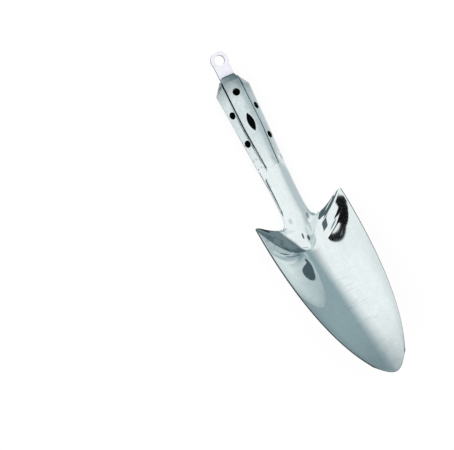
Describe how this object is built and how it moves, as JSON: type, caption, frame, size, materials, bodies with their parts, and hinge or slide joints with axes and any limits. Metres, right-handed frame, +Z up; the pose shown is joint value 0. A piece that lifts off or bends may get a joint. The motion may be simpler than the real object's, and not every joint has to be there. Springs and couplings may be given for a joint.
{
  "type": "garden trowel",
  "caption": "Pressed steel garden trowel with a scoop blade, a rolled shank, a hollow faceted grip and a hinged hanging tab.",
  "frame": {"origin": "centre of the bounding box, on the surface that the trowel lies on", "axes": "+X from the grip towards the tip of the blade, +Z up out of the open side of the scoop, +Y across"},
  "size_m": [0.3088, 0.0836, 0.0633],
  "materials": {
    "polished_steel": "mirror polished",
    "grip_steel": "polished, with light wear",
    "pin_steel": "plain",
    "tab_plastic": "smooth, slightly milky"
  },
  "bodies": {
    "trowel": {"blade_and_shank": "polished_steel", "grip_back_shell": "grip_steel", "grip_front_panel": "grip_steel", "tab_pin": "pin_steel"},
    "tab": {"hanging_tab": "tab_plastic"}
  },
  "joints": [
    {"name": "tab_swing", "type": "hinge", "parent": "trowel", "child": "tab", "pos_m": [-0.12134, 0, 0.01513], "axis": [0, 1, 0], "range_deg": [0, 6]}
  ]
}
